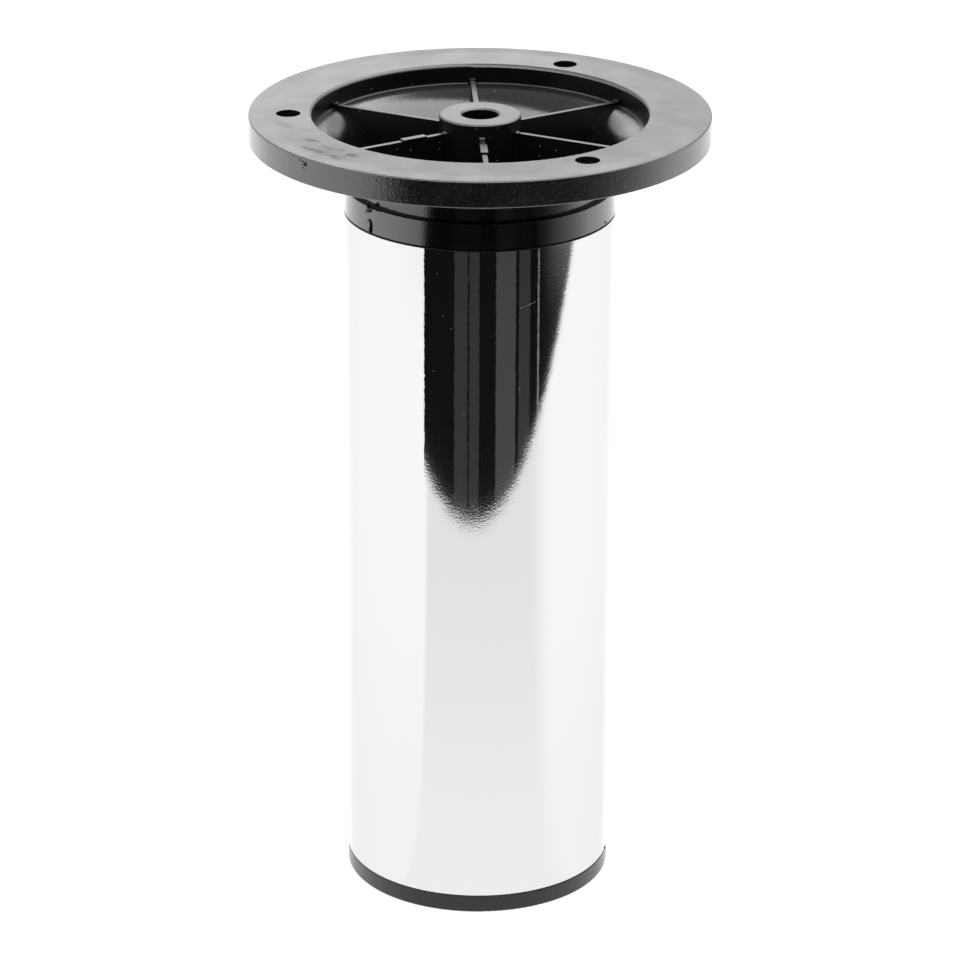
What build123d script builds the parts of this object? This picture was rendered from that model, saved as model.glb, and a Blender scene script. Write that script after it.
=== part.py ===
"""Furniture leg of 50 mm tube: a chrome tube on a plastic foot cap, under a ribbed plastic mounting flange."""

import os

from build123d import *

# Heights of the whole leg in millimetres, with the foot's underside at z = 0 and the axis on Z
LEG_HEIGHT = 150.6
FOOT_LIP_HEIGHT = 3.4
HEAD_HEIGHT = 18.5

# Tube, cut square at both ends
TUBE_RADIUS = 25.0
TUBE_WALL = 1.0
TUBE_EDGE = 0.2

# Mounting ring of the flange, drilled for three screws
RING_RADIUS = 42.3
RING_THICKNESS = 4.85
RING_TOP_EDGE = 0.3
RING_LOW_EDGE = 0.2
SCREW_COUNT = 3
SCREW_CIRCLE_RADIUS = 35.0
SCREW_HOLE_RADIUS = 2.25
FIRST_SCREW_ANGLE = 60.0

# Recess inside the ring: a short upright wall, a flat ledge, and a bell mouth down to the spigot's bore
OPENING_RADIUS = 30.8
OPENING_EDGE = 0.6
LEDGE_DEPTH = 3.5
LEDGE_RADIUS = 30.6
LEDGE_WIDTH = 0.6
BELL_DROP = 1.7
BELL_RADIUS = 9.2
SPIGOT_BORE_RADIUS = 21.9

# Outside of the flange below the ring: flared neck, tapered collar, relief over the tube's end, spigot
FLARE_RADIUS = 31.6
FLARE_EDGE = 1.5
NECK_RADIUS = 23.8
NECK_HEIGHT = 3.2
COLLAR_HEIGHT = 5.0
COLLAR_TOP_RADIUS = 24.8
COLLAR_EDGE = 0.25
RELIEF_HEIGHT = 0.25
RELIEF_RADIUS = 24.35
SPIGOT_RADIUS = 23.6
SPIGOT_LENGTH = 20.0
SPIGOT_LEAD = 1.2

# Six webs that carry the centre hub
WEB_COUNT = 6
FIRST_WEB_ANGLE = 30.0
WEB_THICKNESS = 0.9
WEB_TOP_DEPTH = 2.9
WEB_FOOT_DEPTH = 25.0
WEB_ROOT_RADIUS = 0.35
WEB_END_BEAD_RADIUS = 0.75
WEB_END_BEAD_RISE = 0.5
HUB_RADIUS = 7.5
HUB_SETBACK = 0.4
HUB_EDGE = 0.35
HUB_FOOT_RADIUS = 0.4
BORE_RADIUS = 3.4
BORE_EDGE = 0.3

# Raised ejector pads on two neighbouring webs
PAD_ANGLES = (210.0, 270.0)
PAD_LENGTH = 4.9
PAD_WIDTH = 1.3
PAD_HEIGHT = 0.3
PAD_CENTRE_RADIUS = 14.3

# Foot cap: lip under the tube, sleeve inside it, hollow from above
FOOT_RADIUS = 25.0
FOOT_EDGE = 0.4
FOOT_FLOOR = 2.6
FOOT_SLEEVE_RADIUS = 23.6
FOOT_SLEEVE_BORE_RADIUS = 21.8
FOOT_SLEEVE_HEIGHT = 13.0
FOOT_SLEEVE_LEAD = 1.0
FOOT_REST_INNER_RADIUS = 17.0
FOOT_REST_RECESS = 0.5
GATE_DIMPLE_RADIUS = 3.0
GATE_DIMPLE_DEPTH = 0.5

# Crush ribs that grip the inside of the tube, on the spigot and on the foot's sleeve
CRUSH_RIB_COUNT = 12
CRUSH_RIB_RADIUS = 0.6
CRUSH_RIB_GAP = 0.02
CRUSH_RIB_INSET = 2.0

TUBE_LOW = FOOT_LIP_HEIGHT
TUBE_TOP = LEG_HEIGHT - HEAD_HEIGHT
TUBE_BORE_RADIUS = TUBE_RADIUS - TUBE_WALL
COLLAR_TOP = TUBE_TOP + COLLAR_HEIGHT
NECK_TOP = COLLAR_TOP + NECK_HEIGHT
RING_LOW = LEG_HEIGHT - RING_THICKNESS
LEDGE_Z = LEG_HEIGHT - LEDGE_DEPTH
BELL_CORNER_Z = LEDGE_Z - BELL_DROP
WEB_TOP = LEG_HEIGHT - WEB_TOP_DEPTH
WEB_LOW = LEG_HEIGHT - WEB_FOOT_DEPTH
HUB_TOP = LEG_HEIGHT - HUB_SETBACK
SPIGOT_LOW = TUBE_TOP - SPIGOT_LENGTH


def turned(points):
    """Solid of revolution about Z from a closed outline of (radius, height, corner radius) points."""
    face = make_face(Polyline(*[(r, z) for r, z, _ in points], close=True))
    for r, z, corner in points:
        if corner:
            face = fillet(face.vertices().sort_by_distance((r, z))[0], corner)
    return revolve(Plane.XZ * face, Axis.Z)


def round_the_axis(shape, count, first_angle=0.0):
    """Copies of a shape, evenly spaced about Z."""
    return [Rot(0, 0, first_angle + 360.0 * k / count) * shape for k in range(count)]


def standing(radius, low, high, distance=0.0):
    """Upright round bar whose axis is at a distance from Z along +X."""
    return Pos(distance, 0, (low + high) / 2) * Cylinder(radius, high - low)


def crush_ribs(low, high):
    """Half-round ribs whose tips just clear the tube's bore."""
    centre = TUBE_BORE_RADIUS - CRUSH_RIB_GAP - CRUSH_RIB_RADIUS
    return round_the_axis(standing(CRUSH_RIB_RADIUS, low, high, centre), CRUSH_RIB_COUNT, 15.0)


def make_tube():
    """Plain round tube with its outer edges just broken."""
    return turned([
        (TUBE_BORE_RADIUS, TUBE_LOW, 0),
        (TUBE_RADIUS, TUBE_LOW, TUBE_EDGE),
        (TUBE_RADIUS, TUBE_TOP, TUBE_EDGE),
        (TUBE_BORE_RADIUS, TUBE_TOP, 0),
    ])


def make_flange_shell():
    """Ring, bell-mouthed recess, neck, collar and spigot, turned as one wall."""
    return turned([
        (OPENING_RADIUS, LEG_HEIGHT, OPENING_EDGE),
        (RING_RADIUS, LEG_HEIGHT, RING_TOP_EDGE),
        (RING_RADIUS, RING_LOW, RING_LOW_EDGE),
        (FLARE_RADIUS, RING_LOW, FLARE_EDGE),
        (NECK_RADIUS, NECK_TOP, FLARE_EDGE),
        (NECK_RADIUS, COLLAR_TOP, 0),
        (COLLAR_TOP_RADIUS, COLLAR_TOP, COLLAR_EDGE),
        (TUBE_RADIUS, TUBE_TOP + RELIEF_HEIGHT, 0),
        (RELIEF_RADIUS, TUBE_TOP + RELIEF_HEIGHT, 0),
        (RELIEF_RADIUS, TUBE_TOP, 0),
        (SPIGOT_RADIUS, TUBE_TOP, 0),
        (SPIGOT_RADIUS, SPIGOT_LOW, SPIGOT_LEAD),
        (SPIGOT_BORE_RADIUS, SPIGOT_LOW, 0),
        (SPIGOT_BORE_RADIUS, BELL_CORNER_Z, BELL_RADIUS),
        (LEDGE_RADIUS - LEDGE_WIDTH, LEDGE_Z, 0),
        (LEDGE_RADIUS, LEDGE_Z, 0),
    ])


def make_web_envelope():
    """Space that hub and webs may fill: it ends inside the shell's wall and steps up to the hub."""
    in_wall = (SPIGOT_BORE_RADIUS + SPIGOT_RADIUS) / 2
    sink = in_wall - SPIGOT_BORE_RADIUS
    return turned([
        (0, WEB_LOW, 0),
        (in_wall, WEB_LOW, 0),
        (in_wall, BELL_CORNER_Z - sink, BELL_RADIUS - sink),
        (LEDGE_RADIUS + 1.0, LEDGE_Z - 0.6, 0),
        (LEDGE_RADIUS + 1.0, WEB_TOP, 0),
        (HUB_RADIUS, WEB_TOP, HUB_FOOT_RADIUS),
        (HUB_RADIUS, HUB_TOP, HUB_EDGE),
        (0, HUB_TOP, 0),
    ])


def make_hub_and_webs():
    """Hub on six thin webs, with their roots rounded in plan, cut to the envelope."""
    reach = LEDGE_RADIUS + 2.0
    web = Pos(reach / 2, 0) * Rectangle(reach, WEB_THICKNESS)
    star = Circle(HUB_RADIUS) + round_the_axis(web, WEB_COUNT, FIRST_WEB_ANGLE)
    at_hub = [v for v in star.vertices() if abs(Vector(*v).length - HUB_RADIUS) < 0.1]
    star = fillet(at_hub, WEB_ROOT_RADIUS)
    star = Pos(0, 0, WEB_LOW) * extrude(star, HUB_TOP - WEB_LOW)
    return star & make_web_envelope()


def make_web_details():
    """Round beads where the webs meet the wall, and the ejector pads."""
    bead_centre = LEDGE_RADIUS - WEB_END_BEAD_RADIUS / 2
    bead = standing(WEB_END_BEAD_RADIUS, LEDGE_Z - 0.5, WEB_TOP + WEB_END_BEAD_RISE, bead_centre)
    bead = fillet(bead.edges().sort_by(Axis.Z)[-1], WEB_END_BEAD_RADIUS * 0.6)
    details = round_the_axis(bead, WEB_COUNT, FIRST_WEB_ANGLE)
    pad_z = WEB_TOP + PAD_HEIGHT / 2
    pad = Pos(PAD_CENTRE_RADIUS, 0, pad_z) * Box(PAD_LENGTH, PAD_WIDTH, PAD_HEIGHT)
    return details + [Rot(0, 0, angle) * pad for angle in PAD_ANGLES]


def make_flange():
    """One moulding: shell, hub and webs, crush ribs and small details, drilled for its screws."""
    flange = make_flange_shell() + make_hub_and_webs() + make_web_details()
    flange += crush_ribs(SPIGOT_LOW + CRUSH_RIB_INSET, TUBE_TOP)
    bore = turned([
        (0, WEB_LOW - 1, 0),
        (BORE_RADIUS, WEB_LOW - 1, 0),
        (BORE_RADIUS, HUB_TOP - BORE_EDGE, 0),
        (BORE_RADIUS + 2 * BORE_EDGE, HUB_TOP + BORE_EDGE, 0),
        (0, HUB_TOP + BORE_EDGE, 0),
    ])
    hole = standing(SCREW_HOLE_RADIUS, RING_LOW - 1, LEG_HEIGHT + 1, SCREW_CIRCLE_RADIUS)
    return flange - bore - round_the_axis(hole, SCREW_COUNT, FIRST_SCREW_ANGLE)


def make_foot_cap():
    """Cup-shaped cap: lip flush with the tube, ribbed sleeve inside it, ring-shaped rest below."""
    sleeve_top = FOOT_LIP_HEIGHT + FOOT_SLEEVE_HEIGHT
    cap = turned([
        (0, FOOT_REST_RECESS, 0),
        (FOOT_REST_INNER_RADIUS, FOOT_REST_RECESS, 0),
        (FOOT_REST_INNER_RADIUS, 0, 0),
        (FOOT_RADIUS, 0, FOOT_EDGE),
        (FOOT_RADIUS, FOOT_LIP_HEIGHT, TUBE_EDGE),
        (FOOT_SLEEVE_RADIUS, FOOT_LIP_HEIGHT, 0),
        (FOOT_SLEEVE_RADIUS, sleeve_top, FOOT_SLEEVE_LEAD),
        (FOOT_SLEEVE_BORE_RADIUS, sleeve_top, 0),
        (FOOT_SLEEVE_BORE_RADIUS, FOOT_FLOOR, 1.0),
        (0, FOOT_FLOOR, 0),
    ])
    cap += crush_ribs(FOOT_LIP_HEIGHT, sleeve_top - CRUSH_RIB_INSET)
    dimple = standing(GATE_DIMPLE_RADIUS, FOOT_REST_RECESS, FOOT_REST_RECESS + GATE_DIMPLE_DEPTH)
    return cap - dimple


def main():
    os.makedirs("parts", exist_ok=True)
    pieces = {"foot_cap": make_foot_cap(), "tube": make_tube(), "mounting_flange": make_flange()}
    for name, piece in pieces.items():
        export_step(piece, f"parts/{name}.step")
        box = piece.bounding_box()
        print(name, "volume", round(piece.volume), "mm3, z", round(box.min.Z, 2), "to", round(box.max.Z, 2))


main()
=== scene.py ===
# %% [markdown]
# # A chrome furniture leg
# The leg is a round chrome tube that stands on a black foot cap and carries a black mounting flange.
# The flange is screwed up under a cabinet, so people see its ring, its collar and the mirror-bright tube.
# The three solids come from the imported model. This lesson gives them their finishes, adds the small
# burrs and nibs of a cheap moulding, and lights them as a product photographer would.

# %% Load the solids
import math

import bmesh
import bpy
from mathutils import Matrix, Vector


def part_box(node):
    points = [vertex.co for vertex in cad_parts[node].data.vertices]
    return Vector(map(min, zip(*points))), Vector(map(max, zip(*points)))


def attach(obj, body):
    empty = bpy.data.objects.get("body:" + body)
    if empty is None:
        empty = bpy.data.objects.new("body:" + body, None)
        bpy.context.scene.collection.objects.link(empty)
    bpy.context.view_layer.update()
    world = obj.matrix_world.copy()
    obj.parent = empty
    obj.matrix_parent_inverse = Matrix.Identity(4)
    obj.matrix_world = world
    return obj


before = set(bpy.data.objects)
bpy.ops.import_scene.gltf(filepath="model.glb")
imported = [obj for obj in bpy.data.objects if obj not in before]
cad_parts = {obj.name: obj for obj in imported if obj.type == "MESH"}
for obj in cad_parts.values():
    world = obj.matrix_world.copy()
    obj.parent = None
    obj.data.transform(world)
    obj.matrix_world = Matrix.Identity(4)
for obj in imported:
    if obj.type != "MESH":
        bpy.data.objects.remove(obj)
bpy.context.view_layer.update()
MM = 0.001
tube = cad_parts["tube"]
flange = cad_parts["mounting_flange"]
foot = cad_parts["foot_cap"]
print("solids", sorted(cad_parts))

# %% [markdown]
# ## Heights and radii
# Every later cell places its work by the solids, so the few heights and radii it needs are read from
# their boxes here. Reading them keeps the finish in place if a solid is ever made longer or wider.
# A box doesn't show the steps within a piece, so those are named values from the flange's drawing.

# %% Read the leading sizes
tube_low, tube_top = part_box("tube")[0].z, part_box("tube")[1].z
tube_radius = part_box("tube")[1].x
leg_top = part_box("mounting_flange")[1].z
ring_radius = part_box("mounting_flange")[1].x
RING_THICKNESS = 4.85 * MM
OPENING_RADIUS = 31.4 * MM
LEDGE_DEPTH = 3.5 * MM
LEDGE_EDGE_RADIUS = 30.0 * MM
COLLAR_HEIGHT = 5.0 * MM
COLLAR_TAPER = 0.2 * MM
print("tube from", round(tube_low / MM, 1), "to", round(tube_top / MM, 1), "mm")
print("tube radius", round(tube_radius / MM, 1), "mm, ring radius", round(ring_radius / MM, 1), "mm")

# %% [markdown]
# ## Camera
# The picture was taken with a long lens from a little above, which keeps the tube's sides nearly
# parallel. A camera could be placed by eye, but a few angles and one distance describe it better:
# how high it looks from, how far the leg is turned under it, and how far away it stands.

# %% Place the camera
CAMERA_HEIGHT_ANGLE = math.radians(21.559)
CAMERA_ROLL = math.radians(0.233)
LEG_TURN = math.radians(2.805)
CAMERA_DISTANCE = 0.829866
CAMERA_LENS = 165.15
SENSOR_WIDTH = 36.0
NEAREST_SEEN = 0.05
AIM = Vector((0.000232, 0.0, 0.078313))

unturn = Matrix.Rotation(-LEG_TURN, 3, "Z")
back = Vector((0, -math.cos(CAMERA_HEIGHT_ANGLE), math.sin(CAMERA_HEIGHT_ANGLE)))
level_right = Vector((1, 0, 0))
level_up = back.cross(level_right)
right = math.cos(CAMERA_ROLL) * level_right + math.sin(CAMERA_ROLL) * level_up
up = math.cos(CAMERA_ROLL) * level_up - math.sin(CAMERA_ROLL) * level_right
turned_axes = Matrix((unturn @ right, unturn @ up, unturn @ back)).transposed()
stand_at = unturn @ (AIM + back * CAMERA_DISTANCE)

camera = bpy.data.objects.new("camera", bpy.data.cameras.new("camera"))
camera.data.lens = CAMERA_LENS
camera.data.sensor_width = SENSOR_WIDTH
camera.data.clip_start = NEAREST_SEEN
camera.matrix_world = Matrix.Translation(stand_at) @ turned_axes.to_4x4()
bpy.context.scene.collection.objects.link(camera)
bpy.context.scene.camera = camera
bpy.context.scene.view_settings.view_transform = "Standard"
print("camera stands at", [round(v, 3) for v in camera.location])

# %% [markdown]
# ## Node helpers
# A material here is a short chain of shader nodes. A few small functions make nodes and join them, so
# that each finish below reads as a list of what it is made of.

# %% Make nodes
WHITE = (1.0, 1.0, 1.0, 1.0)


def new_material(name):
    material = bpy.data.materials.new(name)
    material.use_nodes = True
    material.node_tree.nodes.clear()
    return material


def add_node(tree, kind, **inputs):
    """Adds a node; each input is a number or colour to set, or an output socket to link."""
    node = tree.nodes.new(kind)
    for name, value in inputs.items():
        by_number = name[1:].isdigit()
        socket = node.inputs[int(name[1:])] if by_number else node.inputs[name.replace("_", " ")]
        if isinstance(value, bpy.types.NodeSocket):
            tree.links.new(value, socket)
        else:
            socket.default_value = value
    return node


def add_math(tree, operation, a, b=0.0):
    node = add_node(tree, "ShaderNodeMath", i0=a, i1=b)
    node.operation = operation
    return node.outputs[0]


def add_length(tree, vector):
    node = add_node(tree, "ShaderNodeVectorMath", i0=vector)
    node.operation = "LENGTH"
    return node.outputs["Value"]


def add_step(tree, value, start, stop, low=0.0, high=1.0):
    """Number that goes smoothly from low to high while the value goes from start to stop."""
    node = add_node(tree, "ShaderNodeMapRange", Value=value, From_Min=start, From_Max=stop)
    node.interpolation_type = "SMOOTHSTEP"
    node.inputs["To Min"].default_value = low
    node.inputs["To Max"].default_value = high
    return node.outputs[0]


def add_blend(tree, share, first, second):
    """Mixes two colours; each is a colour to set or an output socket to link."""
    node = add_node(tree, "ShaderNodeMix", i0=share)
    node.data_type = "RGBA"
    for socket, colour in ((node.inputs[6], first), (node.inputs[7], second)):
        if isinstance(colour, bpy.types.NodeSocket):
            tree.links.new(colour, socket)
        else:
            socket.default_value = colour
    return node.outputs[2]


def add_compass(tree, vector):
    """Direction as seen from the camera, and its compass angle: 0 is towards it, 90 to its right."""
    turned = add_node(tree, "ShaderNodeVectorRotate", Vector=vector, Angle=LEG_TURN)
    turned.rotation_type = "Z_AXIS"
    parts = add_node(tree, "ShaderNodeSeparateXYZ", Vector=turned.outputs[0])
    towards = add_math(tree, "MULTIPLY", parts.outputs["Y"], -1.0)
    angle = add_math(tree, "ARCTAN2", parts.outputs["X"], towards)
    return turned.outputs[0], parts.outputs, add_math(tree, "DEGREES", angle)


def close_material(material, shader):
    output = material.node_tree.nodes.new("ShaderNodeOutputMaterial")
    material.node_tree.links.new(shader.outputs[0], output.inputs["Surface"])
    return material


print("node helpers ready, the leg is turned by", round(math.degrees(LEG_TURN), 1), "degrees")

# %% [markdown]
# ## Floor
# The floor of the picture is so white that it has no edge and no shadow. A diffuse floor alone would
# turn grey at a distance, so this one also glows a little. Mirror-like surfaces don't see it, because
# they have a table of their own.

# %% Lay the floor
FLOOR_SIZE = 6.0
FLOOR_GREY = (0.12, 0.12, 0.12, 1)
FLOOR_ROUGHNESS = 0.9
FLOOR_GLOW = 0.85
CIRCLE_CORNERS = 256


def flat_piece(name, points, material):
    mesh = bpy.data.meshes.new(name)
    mesh.from_pydata(points, [], [tuple(range(len(points)))])
    mesh.materials.append(material)
    piece = bpy.data.objects.new(name, mesh)
    bpy.context.scene.collection.objects.link(piece)
    return piece


def circle_points(centre, radius):
    angles = [2 * math.pi * k / CIRCLE_CORNERS for k in range(CIRCLE_CORNERS)]
    return [(centre.x + radius * math.cos(a), centre.y + radius * math.sin(a), centre.z) for a in angles]


floor_white = new_material("floor_white")
floor_shader = add_node(floor_white.node_tree, "ShaderNodeBsdfPrincipled", Base_Color=FLOOR_GREY)
floor_shader.inputs["Roughness"].default_value = FLOOR_ROUGHNESS
floor_shader.inputs["Emission Color"].default_value = WHITE
floor_shader.inputs["Emission Strength"].default_value = FLOOR_GLOW
close_material(floor_white, floor_shader)
floor = flat_piece("floor", circle_points(Vector((0, 0, 0)), FLOOR_SIZE), floor_white)
floor.visible_glossy = False
print("floor", FLOOR_SIZE * 2, "m across")

# %% [markdown]
# ## Table
# The white table of the picture is round and ends in front of the leg, and beyond it the room is dark.
# That is what draws the black tongue down the tube. A floor that really ended there would look odd from
# other sides, so the table is a second disc that only mirror-like surfaces see. Its light is a little
# lower near the leg and towards the camera, where the leg and the photographer shade it.

# %% Lay the table
TABLE_CENTRE = unturn @ Vector((0.0241, 0.2848, 0.0))
TABLE_RADIUS = 0.507
TABLE_LIGHT = 1.85
TABLE_NEAR, TABLE_FAR = 0.03, 0.2
SIDE_SHARE = (0.955, 1.0)
FRONT_SHARE = (0.915, 0.82)
TABLE_FRONT = (-43.0, 52.0)
TABLE_FRONT_BLUR = (2.0, 10.0)

table_white = new_material("table_white")
nodes = table_white.node_tree
on_table = add_node(nodes, "ShaderNodeTexCoord").outputs["Object"]
table_angle = add_compass(nodes, on_table)[2]
front_low, front_high = TABLE_FRONT
blur_low, blur_high = TABLE_FRONT_BLUR
enter = add_step(nodes, table_angle, front_low - blur_low, front_low + blur_low)
leave = add_step(nodes, table_angle, front_high - blur_high, front_high + blur_high, 1.0, 0.0)
in_front = add_math(nodes, "MULTIPLY", enter, leave)
from_leg = add_length(nodes, on_table)
side_share = add_step(nodes, from_leg, TABLE_NEAR, TABLE_FAR, *SIDE_SHARE)
front_share = add_step(nodes, from_leg, TABLE_NEAR, TABLE_FAR, *FRONT_SHARE)
share = add_node(nodes, "ShaderNodeMix", i0=in_front, i2=side_share, i3=front_share)
table_light = add_math(nodes, "MULTIPLY", share.outputs[0], TABLE_LIGHT)
close_material(table_white, add_node(nodes, "ShaderNodeEmission", Color=WHITE, Strength=table_light))
table = flat_piece("table", circle_points(TABLE_CENTRE, TABLE_RADIUS), table_white)
table.visible_camera = False
table.visible_diffuse = False
table.visible_shadow = False
print("table edge in front of the leg", round((TABLE_RADIUS - TABLE_CENTRE.y) / MM), "mm")

# %% [markdown]
# ## Room
# The rest of the light comes from the world, painted by direction. White walls stand left, right and
# behind. Towards the camera the room is dark, with a few dim upright things in it, and they draw the
# grey stripes in the tongue. Real walls and cupboards would do the same, but a ramp by compass angle
# is quicker to shift until each stripe falls where the picture has it.

# %% Paint the walls
WALL_LIGHT = 1.85
DARK_FROM, DARK_TO = -48.6, 100.0
ROOM_BLACK = 0.0062
ROOM_STRIPES = (
    (-22.4, -11.0, 0.037), (-8.5, -0.4, 0.037), (13.0, 30.6, 0.062),
    (32.5, 42.5, 0.038), (50.2, 51.2, 0.20),
)
SIDE_WALL_FOOT = (-0.345, -0.26)
RIGHT_WALL = ((-180, 0.0), (50, 0.0), (56, 0.06), (74, 0.36), (90, 0.66), (110, 1.0))
LEFT_WALL = ((-180, 1.0), (-80, 1.0), (-50, 0.72), (-47, 0.45), (52, 0.45), (60, 1.0))

world = bpy.data.worlds.new("room")
bpy.context.scene.world = world
world.use_nodes = True
sky = world.node_tree
sky.nodes.clear()
looking = add_node(sky, "ShaderNodeTexCoord").outputs["Generated"]
direction, parts, compass = add_compass(sky, looking)
height = parts["Z"]


def compass_ramp(stops, interpolation):
    """Grey by compass direction, from a list of (degrees, grey)."""
    turn = add_step(sky, compass, -180.0, 180.0)
    turn.node.interpolation_type = "LINEAR"
    node = add_node(sky, "ShaderNodeValToRGB", Fac=turn)
    ramp = node.color_ramp
    ramp.interpolation = interpolation
    for number, (degrees, grey) in enumerate(stops):
        position = degrees / 360 + 0.5
        stop = ramp.elements[0] if number == 0 else ramp.elements.new(position)
        stop.position = position
        stop.color = (grey, grey, grey, 1)
    ramp.elements[-1].color = ramp.elements[-2].color
    return node.outputs["Color"]


around = [(-180, 1.0), (DARK_FROM, ROOM_BLACK)]
for first, last, grey in ROOM_STRIPES:
    around += [(first, grey), (last, ROOM_BLACK)]
around.append((DARK_TO, 1.0))
low_walls = compass_ramp(around, "CONSTANT")
right_wall = compass_ramp(RIGHT_WALL, "LINEAR")
right_wall = add_math(sky, "MULTIPLY", right_wall, add_step(sky, height, *SIDE_WALL_FOOT))
left_wall = compass_ramp(LEFT_WALL, "LINEAR")
left_share = add_node(sky, "ShaderNodeMix", i0=add_step(sky, height, *SIDE_WALL_FOOT), i2=1.0, i3=left_wall)
low_walls = add_math(sky, "MULTIPLY", low_walls, left_share.outputs[0])
walls = add_math(sky, "MULTIPLY", add_math(sky, "MAXIMUM", low_walls, right_wall), WALL_LIGHT)
print("dark side of the room from", DARK_FROM, "to", DARK_TO, "degrees")

# %% [markdown]
# ## Lights
# A large soft light hangs overhead, with a dark gap in it that the far side of the recess mirrors. Low
# behind the leg stands a white wall with a brighter panel before its left half, and the flat top face
# mirrors that. Lamps could stand there, but painted into the world they have soft edges for nothing.

# %% Hang the lights
REAR_LIGHT = 2.2
REAR_WALL_LIGHT = 1.05
REAR_SIDES = (0.35, 0.8)
REAR_FOOT = (-0.02, 0.06)
PANEL_LEFT, PANEL_RIGHT = (-0.48, -0.12), (0.1, 0.2)
OVERHEAD_LIGHT = 3.8
OVERHEAD_FROM = (0.45, 0.65)
GAP_LIGHT = 0.4
GAP_SIZE = 33.0
GAP_BLUR = 4.0
GAP_OVER, GAP_LEAN = math.radians(68.0), math.radians(-15.0)

behind = add_step(sky, parts["Y"], *REAR_SIDES)
rear = add_math(sky, "MULTIPLY", behind, add_step(sky, height, *REAR_FOOT))
panel_start = add_step(sky, parts["X"], *PANEL_LEFT)
panel = add_math(sky, "MULTIPLY", panel_start, add_step(sky, parts["X"], *PANEL_RIGHT, 1.0, 0.0))
rear_light = add_step(sky, panel, 0.0, 1.0, REAR_WALL_LIGHT, REAR_LIGHT)
low_light = add_node(sky, "ShaderNodeMix", i0=rear, i2=walls, i3=rear_light).outputs[0]
gap_height = math.sin(GAP_OVER) * math.cos(GAP_LEAN)
gap_centre = Vector((math.sin(GAP_LEAN), math.cos(GAP_OVER) * math.cos(GAP_LEAN), gap_height))
to_gap = add_node(sky, "ShaderNodeVectorMath", i0=direction, i1=gap_centre)
to_gap.operation = "DOT_PRODUCT"
gap_edge = [math.cos(math.radians(GAP_SIZE + way * GAP_BLUR)) for way in (1, -1)]
overhead = add_step(sky, to_gap.outputs["Value"], *gap_edge, OVERHEAD_LIGHT, GAP_LIGHT)
mixed = add_node(sky, "ShaderNodeMix", i0=add_step(sky, height, *OVERHEAD_FROM), i2=low_light, i3=overhead)
glow = add_node(sky, "ShaderNodeBackground", Strength=mixed.outputs[0], Color=WHITE)
sky.links.new(glow.outputs[0], sky.nodes.new("ShaderNodeOutputWorld").inputs["Surface"])
print("overhead light", OVERHEAD_LIGHT, "rear light", REAR_LIGHT)

# %% [markdown]
# ## Backdrop
# Behind the leg the picture is plain white, but the world above is dark in places. A large glowing
# sphere hides it from the camera alone, so it lights nothing and shows in no mirror.

# %% Hang the backdrop
BACKDROP_SIZE = FLOOR_SIZE * 0.95
BACKDROP_GLOW = 1.05
BACKDROP_SEGMENTS, BACKDROP_RINGS = 96, 48

backdrop = bpy.data.objects.new("backdrop", bpy.data.meshes.new("backdrop"))
sphere = bmesh.new()
bmesh.ops.create_uvsphere(
    sphere, u_segments=BACKDROP_SEGMENTS, v_segments=BACKDROP_RINGS, radius=BACKDROP_SIZE
)
sphere.to_mesh(backdrop.data)
sphere.free()
backdrop_white = new_material("backdrop_white")
backdrop_glow = add_node(
    backdrop_white.node_tree, "ShaderNodeEmission", Color=WHITE, Strength=BACKDROP_GLOW
)
backdrop.data.materials.append(close_material(backdrop_white, backdrop_glow))
bpy.context.scene.collection.objects.link(backdrop)
backdrop.visible_glossy = False
backdrop.visible_diffuse = False
backdrop.visible_shadow = False
backdrop.visible_transmission = False
print("backdrop", round(BACKDROP_SIZE * 2, 1), "m across")

# %% [markdown]
# ## Chrome
# Chrome plate on a tube mirrors its surroundings, but the tube was polished on a lathe, so fine lines run
# round it. They blur the mirror up and down and leave it sharp sideways. An anisotropic metal does that:
# its tangent follows the tube round, turned by a quarter so that the blur runs across the lines. A fine
# bump breaks up the edges of the mirror image, and a slow one bends them a little. The cut ends carry no
# bright plate, and their near-black also paints the shade and dark reflection in the joint under the
# collar.

# %% Finish the tube
CHROME_GREY = (0.5, 0.502, 0.5, 1.0)
CHROME_RIM_TINT = (0.8, 0.8, 0.8, 1.0)
CHROME_ROUGHNESS = 0.03
QUARTER_TURN = 0.25
POLISH_LINE = 0.34 * MM
POLISH_LENGTH = 0.38 * MM
POLISH_DEPTH = 0.0032 * MM
TUBE_WAVE = 5.0 * MM
TUBE_WAVE_DEPTH = 0.006 * MM
# Near-black for the cut ends: their own dull finish, and painted shade for the dark joint line under the
# collar.
CUT_SHADE_GREY = (0.004, 0.004, 0.004, 1)
CUT_ROUGHNESS = 0.6
CUT_TILT = 0.2

chrome = new_material("polished_chrome")
nodes = chrome.node_tree
round_tube = nodes.nodes.new("ShaderNodeTangent")
round_tube.direction_type = "RADIAL"
round_tube.axis = "Z"
place = add_node(nodes, "ShaderNodeTexCoord").outputs["Object"]
stretched = add_node(nodes, "ShaderNodeMapping", Vector=place)
stretched.inputs["Scale"].default_value = (1 / POLISH_LENGTH, 1 / POLISH_LENGTH, 1 / POLISH_LINE)
lines = add_node(nodes, "ShaderNodeTexNoise", Vector=stretched.outputs[0], Scale=1.0, Detail=1.0)
swell = add_node(nodes, "ShaderNodeTexNoise", Vector=place, Scale=1 / TUBE_WAVE, Detail=1.0)
slow_bump = add_node(nodes, "ShaderNodeBump", Height=swell.outputs["Fac"], Distance=TUBE_WAVE_DEPTH)
line_bump = add_node(nodes, "ShaderNodeBump", Height=lines.outputs["Fac"], Distance=POLISH_DEPTH)
nodes.links.new(slow_bump.outputs[0], line_bump.inputs["Normal"])
metal = add_node(nodes, "ShaderNodeBsdfPrincipled", Base_Color=CHROME_GREY, Normal=line_bump.outputs[0])
metal.inputs["Metallic"].default_value = 1.0
metal.inputs["Roughness"].default_value = CHROME_ROUGHNESS
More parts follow.
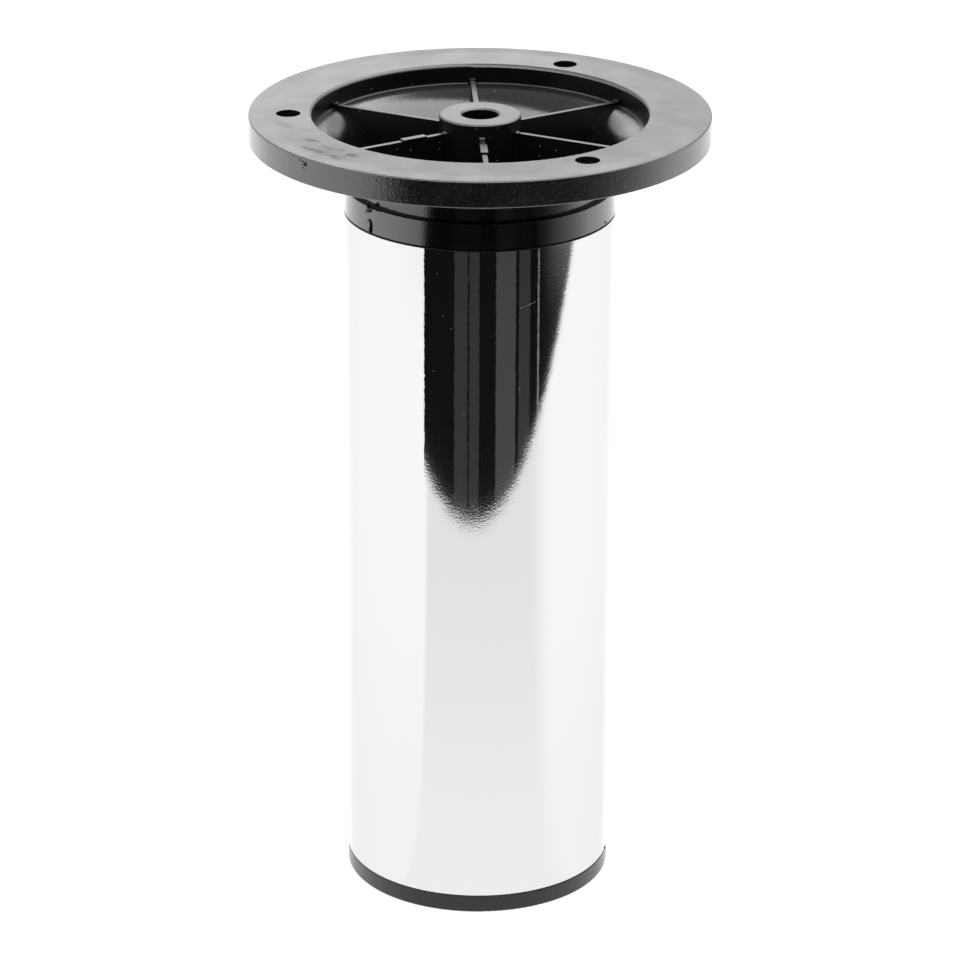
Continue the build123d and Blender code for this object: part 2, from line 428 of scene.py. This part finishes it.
metal.inputs["Anisotropic"].default_value = 1.0
metal.inputs["Anisotropic Rotation"].default_value = QUARTER_TURN
metal.inputs["Specular Tint"].default_value = CHROME_RIM_TINT
nodes.links.new(round_tube.outputs[0], metal.inputs["Tangent"])
close_material(chrome, metal)

# The cut ends' material: a bare dull cut that also paints the joint's shade and dark reflection.
cut_edge_shade = new_material("cut_edge_shade")
cut_shader = add_node(cut_edge_shade.node_tree, "ShaderNodeBsdfPrincipled", Base_Color=CUT_SHADE_GREY)
cut_shader.inputs["Roughness"].default_value = CUT_ROUGHNESS
close_material(cut_edge_shade, cut_shader)
tube.data.materials.clear()
tube.data.materials.append(chrome)
tube.data.materials.append(cut_edge_shade)
for face in tube.data.polygons:
    face.material_index = int(abs(face.normal.z) > CUT_TILT)
print("chrome on", tube.name, "with lines", round(POLISH_LINE / MM, 2), "mm apart")

# %% [markdown]
# ## Black plastic
# The flange leaves its mould with several finishes: a satin top face, a sand-blasted rim, and smoother
# surfaces inside the recess and on the collar. They are the same plastic, so one function makes the
# material, and only gloss and grain change. Pale flecks on the grain are painted glints, standing in for
# grain tips that catch the light, and a little dust shows as light specks on the dark walls.

# %% Mix the plastic
PLASTIC_BLACK = (0.0015, 0.0015, 0.0015, 1.0)
DUST_GREY = (0.22, 0.22, 0.21, 1.0)
DUST_SPACING = 1.3 * MM
DUST_SIZE = 0.11 * MM
# Pale grey painted in flecks on the grain: painted glints that stand in for grain tips catching the light.
GLINT_GREY = (0.03, 0.03, 0.03, 1.0)
GLINT_SPACING = 0.42 * MM
GLINT_FROM, GLINT_TO = 0.55, 0.7
SWELLS_PER_METRE = 60.0
PATCHES_PER_METRE = 160.0
PATCH_FROM, PATCH_TO = 0.3, 0.7
PATCH_SMOOTH, PATCH_ROUGH = 0.92, 1.08
GRAIN_DETAIL, GRAIN_SHARPNESS = 3.0, 0.6


def dust_and_glints(tree, place, share, painted_glints):
    """Plastic's colour with pale flecks of painted glint from a fine noise, and a light dust speck in some
    cells of a grid.
    """
    cells = add_node(tree, "ShaderNodeTexVoronoi", Vector=place, Scale=1 / DUST_SPACING)
    near = add_math(tree, "LESS_THAN", cells.outputs["Distance"], DUST_SIZE / DUST_SPACING)
    chance = add_node(tree, "ShaderNodeSeparateColor", Color=cells.outputs["Color"]).outputs[0]
    speck = add_math(tree, "MULTIPLY", near, add_math(tree, "LESS_THAN", chance, share))
    rough = add_node(tree, "ShaderNodeTexNoise", Vector=place, Scale=1 / GLINT_SPACING, Detail=1.0)
    glint_mask = add_step(tree, rough.outputs["Fac"], GLINT_FROM, GLINT_TO, 0.0, painted_glints)
    glinted = add_blend(tree, glint_mask, PLASTIC_BLACK, GLINT_GREY)
    return add_blend(tree, speck, glinted, DUST_GREY)


def black_plastic(name, roughness, grain, depth, specular=1.0, dust=0.0, wave=0.0, painted_glints=0.0):
    """Black moulded plastic with grain of a given size and depth; wave is how uneven the face is, and the
    last argument is how strong its painted glints are.
    """
    material = new_material(name)
    nodes = material.node_tree
    place = add_node(nodes, "ShaderNodeTexCoord").outputs["Object"]
    sand = add_node(nodes, "ShaderNodeTexNoise", Vector=place, Scale=1 / grain, Detail=GRAIN_DETAIL)
    sand.inputs["Roughness"].default_value = GRAIN_SHARPNESS
    bump = add_node(nodes, "ShaderNodeBump", Height=sand.outputs["Fac"], Distance=depth)
    if wave:
        swell = add_node(nodes, "ShaderNodeTexNoise", Vector=place, Scale=SWELLS_PER_METRE, Detail=1.0)
        slow = add_node(nodes, "ShaderNodeBump", Height=swell.outputs["Fac"], Distance=wave)
        nodes.links.new(slow.outputs[0], bump.inputs["Normal"])
    patches = add_node(nodes, "ShaderNodeTexNoise", Vector=place, Scale=PATCHES_PER_METRE, Detail=3.0)
    spread = (roughness * PATCH_SMOOTH, roughness * PATCH_ROUGH)
    worn = add_step(nodes, patches.outputs["Fac"], PATCH_FROM, PATCH_TO, *spread)
    shader = add_node(nodes, "ShaderNodeBsdfPrincipled", Base_Color=PLASTIC_BLACK, Roughness=worn)
    nodes.links.new(bump.outputs[0], shader.inputs["Normal"])
    if dust:
        nodes.links.new(dust_and_glints(nodes, place, dust, painted_glints), shader.inputs["Base Color"])
    shader.inputs["Specular IOR Level"].default_value = specular
    return close_material(material, shader)


satin_black = black_plastic(
    "satin_black", roughness=0.36, grain=0.4 * MM, depth=0.012 * MM, wave=0.1 * MM
)
# The sandy rim's plastic and the bell mouth's plastic below get painted glints on their grain; their specks
# are dust.
sand_black = black_plastic(
    "sand_black", roughness=0.22, grain=0.5 * MM, depth=0.06 * MM, dust=0.03, painted_glints=0.35
)
neck_black = black_plastic(
    "neck_black", roughness=0.15, grain=0.5 * MM, depth=0.02 * MM, specular=0.8
)
bowl_black = black_plastic(
    "bowl_black", roughness=0.16, grain=0.6 * MM, depth=0.028 * MM, dust=0.14, painted_glints=0.4
)
web_black = black_plastic(
    "web_black", roughness=0.35, grain=0.4 * MM, depth=0.01 * MM, specular=0.22, dust=0.3
)
collar_black = black_plastic("collar_black", roughness=0.15, grain=0.6 * MM, depth=0.009 * MM)
foot_black = black_plastic(
    "foot_black", roughness=0.3, grain=0.5 * MM, depth=0.1 * MM, specular=0.35
)
print("plastics", satin_black.name, sand_black.name, bowl_black.name, web_black.name, collar_black.name)

# %% [markdown]
# ## Marks and painted shade on the top face
# The top face has been handled. Its colour turns paler in soft clouds, most towards the back left, and at
# the front left short dark strokes are scuffed into it. Below the left hole a soft dark oval is painted
# shade. Towards its outline the face also drops a little. A photograph could be laid on the face, but
# ovals and noise do it without one and stay sharp at any size. Each scuff below, and the painted shade,
# is a place, a direction, a half length, a half width and a strength.

# %% Mark and shade the top face
CLOUD_GREY = (0.06, 0.06, 0.059, 1.0)
GRADIENT_SPREAD = (-45.0 * MM, 58.5 * MM)
CLOUDS_PER_METRE = 55.0
CLOUD_STEP = (0.3, 0.62, 0.3, 1.0)
# The last row is no scuff but a soft oval of painted shade below the left hole.
SCUFFS_AND_SHADE = (
    (-31.0, -22.0, -45.0, 3.4, 1.5, 1.0), (-29.6, -23.6, -22.0, 2.2, 1.2, 0.8),
    (-27.5, -26.1, -45.0, 2.8, 1.3, 0.9), (-30.8, -17.0, -33.0, 2.6, 1.0, 0.6),
    (-28.2, -21.6, -42.0, 2.6, 1.1, 0.7), (-25.9, -22.7, -50.0, 2.4, 1.1, 0.5),
    (-24.1, -25.6, -52.0, 3.2, 1.3, 0.7), (-26.9, -27.6, -42.0, 2.4, 1.2, 0.6),
    (-28.0, -24.0, -44.0, 9.0, 5.5, 0.35), (-35.7, -7.0, -60.0, 4.0, 2.0, 0.4),
)
SCUFF_CORE = 0.2
SCUFF_ROUGHNESS = 0.3
STREAK_TURN = math.radians(35)
STREAKS_PER_METRE = (350, 1100, 350)
STREAK_STEP = (0.35, 0.6, 0.25, 1.0)
CROWN_WIDTH = 4.0 * MM
CROWN_DEPTH = -0.2 * MM


def smudge(tree, place, x, y, angle, half_length, half_width, share):
    """Share in the middle of a long oval on the top face, falling to nothing at its outline."""
    oval = add_node(tree, "ShaderNodeMapping", Vector=place)
    oval.vector_type = "TEXTURE"
    oval.inputs["Location"].default_value = (x * MM, y * MM, leg_top)
    oval.inputs["Rotation"].default_value = (0, 0, math.radians(angle))
    oval.inputs["Scale"].default_value = (half_length * MM, half_width * MM, MM)
    return add_step(tree, add_length(tree, oval.outputs[0]), SCUFF_CORE, 1.0, share, 0.0)


def cloudy_gradient(tree, place):
    """How pale the face is made: soft clouds, growing towards the back left."""
    parts = add_node(tree, "ShaderNodeSeparateXYZ", Vector=place).outputs
    across = add_math(tree, "SUBTRACT", parts["Y"], parts["X"])
    film = add_step(tree, across, *GRADIENT_SPREAD)
    cloud = add_node(tree, "ShaderNodeTexNoise", Vector=place, Scale=CLOUDS_PER_METRE, Detail=2.0)
    return add_math(tree, "MULTIPLY", film, add_step(tree, cloud.outputs["Fac"], *CLOUD_STEP))


def rubbed_and_shaded(tree, place):
    """How much the paleness is taken away: all the scuffs and the painted shade below the left hole, broken
    up by fine streaks.
    """
    scuffs_and_shade = 0.0
    for scuff in SCUFFS_AND_SHADE:
        scuffs_and_shade = add_math(tree, "MAXIMUM", smudge(tree, place, *scuff), scuffs_and_shade)
    streaks = add_node(tree, "ShaderNodeMapping", Vector=place)
    streaks.inputs["Rotation"].default_value = (0, 0, STREAK_TURN)
    streaks.inputs["Scale"].default_value = STREAKS_PER_METRE
    streak = add_node(tree, "ShaderNodeTexNoise", Vector=streaks.outputs[0], Scale=1.0, Detail=2.0)
    return add_math(tree, "MULTIPLY", scuffs_and_shade, add_step(tree, streak.outputs["Fac"], *STREAK_STEP))


def edge_drop(tree, place):
    """Bump that lets the face drop a little towards the ring's outline."""
    flat = add_node(tree, "ShaderNodeVectorMath", i0=place, i1=(1, 1, 0))
    flat.operation = "MULTIPLY"
    radius = add_length(tree, flat.outputs[0])
    fall = add_step(tree, radius, ring_radius - CROWN_WIDTH, ring_radius, 1.0, 0.0)
    return add_node(tree, "ShaderNodeBump", Height=fall, Distance=CROWN_DEPTH)


nodes = satin_black.node_tree
satin_shader = next(node for node in nodes.nodes if node.type == "BSDF_PRINCIPLED")
place = add_node(nodes, "ShaderNodeTexCoord").outputs["Object"]
# The face blends towards a pale grey in clouds towards the back left; the scuffs and the painted shade
# below the left hole take that away.
scuffs_and_shade = rubbed_and_shaded(nodes, place)
film = add_math(nodes, "MULTIPLY", cloudy_gradient(nodes, place), add_math(nodes, "SUBTRACT", 1.0, scuffs_and_shade))
nodes.links.new(add_blend(nodes, film, PLASTIC_BLACK, CLOUD_GREY), satin_shader.inputs["Base Color"])
bumps = [node for node in nodes.nodes if node.type == "BUMP"]
first_bump = next(bump for bump in bumps if not bump.inputs["Normal"].is_linked)
nodes.links.new(edge_drop(nodes, place).outputs[0], first_bump.inputs["Normal"])
even = satin_shader.inputs["Roughness"].links[0].from_socket
rougher = add_math(nodes, "ADD", even, add_math(nodes, "MULTIPLY", scuffs_and_shade, SCUFF_ROUGHNESS))
nodes.links.new(rougher, satin_shader.inputs["Roughness"])
print("scuffs on the top face", len(SCUFFS_AND_SHADE))

# %% [markdown]
# ## Which face gets which finish
# A mould is polished or blasted region by region, so a face's finish follows from where it is: on top,
# on the rim, outside below the ring, in the bell mouth, or among the webs. Faces could be picked by
# hand, but rules by depth, radius and direction still hold after the solid is rebuilt.

# %% Finish the flange and the foot
TOP_DEPTH = 0.01 * MM
EDGE_DEPTH = 0.65 * MM
WEB_BEAD_RADIUS = 29.2 * MM
WEB_BEAD_DEPTH = 1.5 * MM
LEDGE_FACES = LEDGE_DEPTH * 1.01
WALL_FOOT = LEDGE_DEPTH * 0.99
RING_FACES = RING_THICKNESS * 1.02
OPENING_WALL_RADIUS = OPENING_RADIUS * 0.97
OUTSIDE_RADIUS = tube_radius * 0.93
NECK_RADIUS = tube_radius * 0.985
BELL_RADIUS = tube_radius * 0.8
LEVEL, SLOPING, UPRIGHT = 0.6, 0.3, 0.1
FACING_OUT, NOT_FACING_IN, FACING_IN = 0.2, -0.05, -0.5

finishes = (satin_black, sand_black, bowl_black, web_black, collar_black, neck_black)
SATIN, SAND, BOWL, WEB, COLLAR, NECK = range(len(finishes))
flange.data.materials.clear()
for finish in finishes:
    flange.data.materials.append(finish)


def recess_finish(radius, depth, upward, outward):
    """Finish of a face on the ring or just inside its opening, or None lower down."""
    in_opening = radius < OPENING_RADIUS
    if depth < TOP_DEPTH:
        return SATIN
    if in_opening and depth < EDGE_DEPTH:
        return SATIN
    if in_opening and radius > WEB_BEAD_RADIUS and WEB_BEAD_DEPTH < depth < WALL_FOOT:
        return WEB
    if upward > LEVEL and depth < LEDGE_FACES:
        return SATIN
    if depth < RING_FACES and radius > OPENING_RADIUS and outward > NOT_FACING_IN:
        return SAND
    if in_opening and radius > OPENING_WALL_RADIUS and depth < LEDGE_DEPTH and upward < UPRIGHT:
        return WEB
    return None


def body_finish(radius, depth, upward, outward, from_step):
    """Finish of a face below the ring's faces: neck, collar, bell mouth or webs."""
    outside = radius > OUTSIDE_RADIUS
    if upward > LEVEL and from_step < EDGE_DEPTH and outside:
        return WEB
    if outward > NOT_FACING_IN and depth > RING_THICKNESS and OUTSIDE_RADIUS < radius < NECK_RADIUS:
        return NECK
    if outward > FACING_OUT and outside:
        return COLLAR
    if (outward < FACING_IN or upward > SLOPING) and radius > BELL_RADIUS:
        return BOWL
    return WEB


def flange_finish(centre, normal):
    radius = math.hypot(centre.x, centre.y)
    depth = leg_top - centre.z
    from_step = abs(centre.z - tube_top - COLLAR_HEIGHT)
    outward = (normal.x * centre.x + normal.y * centre.y) / max(radius, MM)
    finish = recess_finish(radius, depth, normal.z, outward)
    if finish is None:
        finish = body_finish(radius, depth, normal.z, outward, from_step)
    return finish


for face in flange.data.polygons:
    face.material_index = flange_finish(face.center, face.normal)
foot.data.materials.clear()
foot.data.materials.append(foot_black)
used = [face.material_index for face in flange.data.polygons]
print("flange faces by finish", [used.count(number) for number in range(len(finishes))])

# %% [markdown]
# ## Burrs on the collar
# A cheap moulding keeps small marks. The clearest are a torn burr on the collar's upper edge, where it
# left the mould, and under it a hooked sliver caught above the tube. Painting them would leave the
# outline smooth, so each is a thin bead of plastic with its own thickness at every point. Points are
# given as an angle about the tube, a height and a thickness, all measured on the leg.

# %% Lay the burrs
BEAD_FATNESS = 1.35
BEAD_ROUNDNESS = 2


def round_leg(degrees, radius, height):
    turn = math.radians(degrees)
    return Vector((radius * math.cos(turn), radius * math.sin(turn), height))


def on_collar(degrees, height, lift=0.0):
    share = (height * MM - tube_top) / COLLAR_HEIGHT
    return round_leg(degrees, tube_radius - COLLAR_TAPER * share + lift * MM, height * MM)


def on_rim(degrees, height, lift=0.0):
    return round_leg(degrees, ring_radius + lift * MM, height * MM)


def lay_bead(name, points, finish, host="root"):
    """Thin bead along (place, thickness in millimetres) points."""
    curve = bpy.data.curves.new(name, "CURVE")
    curve.dimensions = "3D"
    curve.bevel_depth = MM
    curve.bevel_resolution = BEAD_ROUNDNESS
    curve.use_fill_caps = True
    line = curve.splines.new("POLY")
    line.points.add(len(points) - 1)
    for point, (place, thickness) in zip(line.points, points):
        point.co = (*place, 1)
        point.radius = thickness * BEAD_FATNESS / 2
    curve.materials.append(finish)
    piece = bpy.data.objects.new(name, curve)
    bpy.context.scene.collection.objects.link(piece)
    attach(piece, host)
    return piece


def lay_on(surface, name, line, lift, finish):
    """Bead of the flange's plastic along (angle, height, thickness) points of a surface."""
    points = [(surface(angle, height, lift), thickness) for angle, height, thickness in line]
    return lay_bead(name, points, finish)


HOOK_LIFT, BURR_LIFT, CORE_LIFT = 0.03, 0.02, 0.05
HOOK = (
    (-147.1, 134.2, 0.14), (-146.8, 134.5, 0.24), (-145.9, 134.65, 0.28), (-145.1, 134.4, 0.32),
    (-144.8, 133.8, 0.4), (-144.9, 133.0, 0.56), (-145.2, 132.3, 0.6),
)
BURRS = (
    ((-148.0, 137.0, 0.2), (-147.3, 137.1, 0.4), (-146.5, 136.9, 0.5), (-145.6, 136.8, 0.45),
     (-144.4, 136.9, 0.3), (-143.0, 136.9, 0.1)),
    ((-147.0, 136.9, 0.4), (-147.6, 136.5, 0.3), (-148.2, 136.1, 0.2), (-149.1, 135.6, 0.08)),
    ((-146.4, 136.9, 0.45), (-146.5, 136.3, 0.34), (-146.0, 135.9, 0.1)),
    ((-145.6, 136.7, 0.4), (-145.0, 136.3, 0.24), (-144.3, 136.3, 0.08)),
    ((-147.1, 136.6, 0.3), (-147.3, 136.2, 0.2), (-147.6, 135.8, 0.06)),
    ((-142.4, 136.95, 0.1), (-141.0, 136.9, 0.22), (-139.4, 136.95, 0.16), (-138.0, 137.0, 0.06)),
)
BURR_CORE = ((-147.4, 137.15, 0.45), (-146.7, 137.0, 0.7), (-145.9, 136.75, 0.5))
lay_on(on_collar, "collar_hook", HOOK, HOOK_LIFT, web_black)
for number, line in enumerate(BURRS):
    lay_on(on_collar, "collar_burr_" + str(number + 1), line, BURR_LIFT, web_black)
lay_on(on_collar, "collar_burr_core", BURR_CORE, CORE_LIFT, web_black)
print("burr of", len(BURRS), "spikes and one hook on the collar")

# %% [markdown]
# ## The ledge's edge
# The ledge in the recess ends in a thin rounded edge, which catches the light as a fine line. The edge
# of the solid is sharp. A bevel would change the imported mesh, so a thin bead lies along the edge
# instead, in six runs with a web between each two. At the back right the picture shows it thicker.

# %% Round the ledge's edge
WEB_STEP = 60
FIRST_WEB = -30
EDGE_CLEAR_OF_WEB = 2
EDGE_SINK = 0.03 * MM
EDGE_THICKNESS, EDGE_THICK_PART = 0.17, 0.28
THICK_FROM, THICK_TO = 32, 58
web_angles = range(FIRST_WEB, FIRST_WEB + 360, WEB_STEP)
for number, web_angle in enumerate(web_angles):
    edge = []
    run_end = web_angle + WEB_STEP - EDGE_CLEAR_OF_WEB
    for degrees in range(web_angle + EDGE_CLEAR_OF_WEB, run_end + 1, 2):
        thick = EDGE_THICK_PART if THICK_FROM <= degrees % 360 <= THICK_TO else EDGE_THICKNESS
        edge.append((round_leg(degrees, LEDGE_EDGE_RADIUS, leg_top - LEDGE_DEPTH - EDGE_SINK), thick))
    lay_bead("ledge_edge_" + str(number + 1), edge, collar_black)
print("ledge edge in", len(web_angles), "runs")

# %% [markdown]
# ## Nibs and nicks
# Around the collar and the rim sit a few nibs, dots and nicks, each well under a millimetre, and a thread
# of flash clings to the opening's edge. They are laid like the burrs. The lump on the rim has the rim's
# own sandy finish, and the nicks have the dull one, which reads as a dark dent.

# %% Lay the nibs and nicks
LUMP_LIFT, NICK_LIFT = -0.25, -0.08
COLLAR_NIBS = (
    ("nick_left", (-135.3, 137.05, 0.16), (-134.7, 137.05, 0.16)),
    ("nib_front", (-87.2, 137.0, 0.14), (-86.6, 136.95, 0.14)),
    ("dot_upper", (-90.8, 133.6, 0.16), (-90.4, 133.55, 0.16)),
    ("dot_lower", (-90.8, 132.75, 0.16), (-90.4, 132.7, 0.16)),
    ("blob_right", (-27.3, 132.75, 0.2), (-26.3, 132.8, 0.24)),
)
RIM_LUMP = ((-141.5, 149.8, 0.5), (-140.9, 149.5, 0.9), (-140.3, 149.3, 1.0), (-139.8, 149.5, 0.7))
RIM_NIBS = (
    ("nick_left", (-141.9, 150.1, 0.2), (-141.6, 149.7, 0.3)),
    ("nick_low", (-140.9, 148.7, 0.16), (-139.9, 148.6, 0.2)),
    ("nick_right", (-139.3, 149.9, 0.24), (-139.2, 149.2, 0.3)),
    ("nick_edge", (-144.1, 150.3, 0.16), (-143.7, 150.3, 0.16)),
    ("mark_front", (-83.2, 146.8, 0.2), (-83.0, 147.4, 0.2)),
)
FLASH = (
    (-40.3, 31.0, 150.36, 0.06), (-36.0, 31.05, 150.42, 0.14),
    (-31.0, 31.1, 150.45, 0.16), (-25.5, 31.2, 150.48, 0.06),
)
for name, *line in COLLAR_NIBS:
    lay_on(on_collar, "collar_" + name, line, 0.0, web_black)
lay_on(on_rim, "rim_lump", RIM_LUMP, LUMP_LIFT, sand_black)
for name, *line in RIM_NIBS:
    lay_on(on_rim, "rim_" + name, line, NICK_LIFT, web_black)
flash = [(round_leg(angle, radius * MM, z * MM), thickness) for angle, radius, z, thickness in FLASH]
lay_bead("opening_flash", flash, bowl_black)
print("nibs", len(COLLAR_NIBS), "on the collar,", len(RIM_NIBS), "on the rim")

# %% [markdown]
# ## Pits and a scratch
# The plate of the tube has a few pinhole pits and one fine scratch, and the foot has one nib. A pit
# could be a dot in the chrome's colour, but a mirror shows such a dot poorly. A tiny bead of dull grey
# sunk into the surface shows from every side.

# %% Pit and scratch the plate
PIT_ANGLES = (-110.5, -108.0, -104.5, -112.0, -76.0, -99.0, -69.0)
PIT_HEIGHTS = (127.4, 119.5, 117.2, 108.8, 105.5, 101.0, 96.5)
PIT_SIZE = 0.12
PIT_SINK = 0.03 * MM
PIT_LENGTH = 0.08
SCRATCH = ((-76.0, 120.9), (-72.5, 121.4), (-69.0, 121.9))
SCRATCH_WIDTH = 0.04
SCRATCH_SINK = 0.005 * MM
WORN_GREY = (0.25, 0.25, 0.25, 1.0)
WORN_ROUGHNESS = 0.5
FOOT_NIB_ANGLES = (-12.2, -11.1)
FOOT_NIB_HEIGHT = 3.35 * MM
FOOT_NIB_SIZE = 0.3

worn_plate = new_material("worn_plate")
worn_shader = add_node(worn_plate.node_tree, "ShaderNodeBsdfPrincipled", Base_Color=WORN_GREY)
worn_shader.inputs["Roughness"].default_value = WORN_ROUGHNESS
close_material(worn_plate, worn_shader)
for number, (angle, height) in enumerate(zip(PIT_ANGLES, PIT_HEIGHTS)):
    heights = (height, height + PIT_LENGTH)
    pit = [(round_leg(angle, tube_radius - PIT_SINK, z * MM), PIT_SIZE) for z in heights]
    lay_bead("tube_pit_" + str(number + 1), pit, worn_plate)
scratch = [(round_leg(angle, tube_radius - SCRATCH_SINK, z * MM), SCRATCH_WIDTH) for angle, z in SCRATCH]
lay_bead("tube_scratch", scratch, worn_plate)
foot_nib = [(round_leg(angle, tube_radius, FOOT_NIB_HEIGHT), FOOT_NIB_SIZE) for angle in FOOT_NIB_ANGLES]
lay_bead("foot_nib", foot_nib, foot_black)
print("pits in the plate", len(PIT_ANGLES))
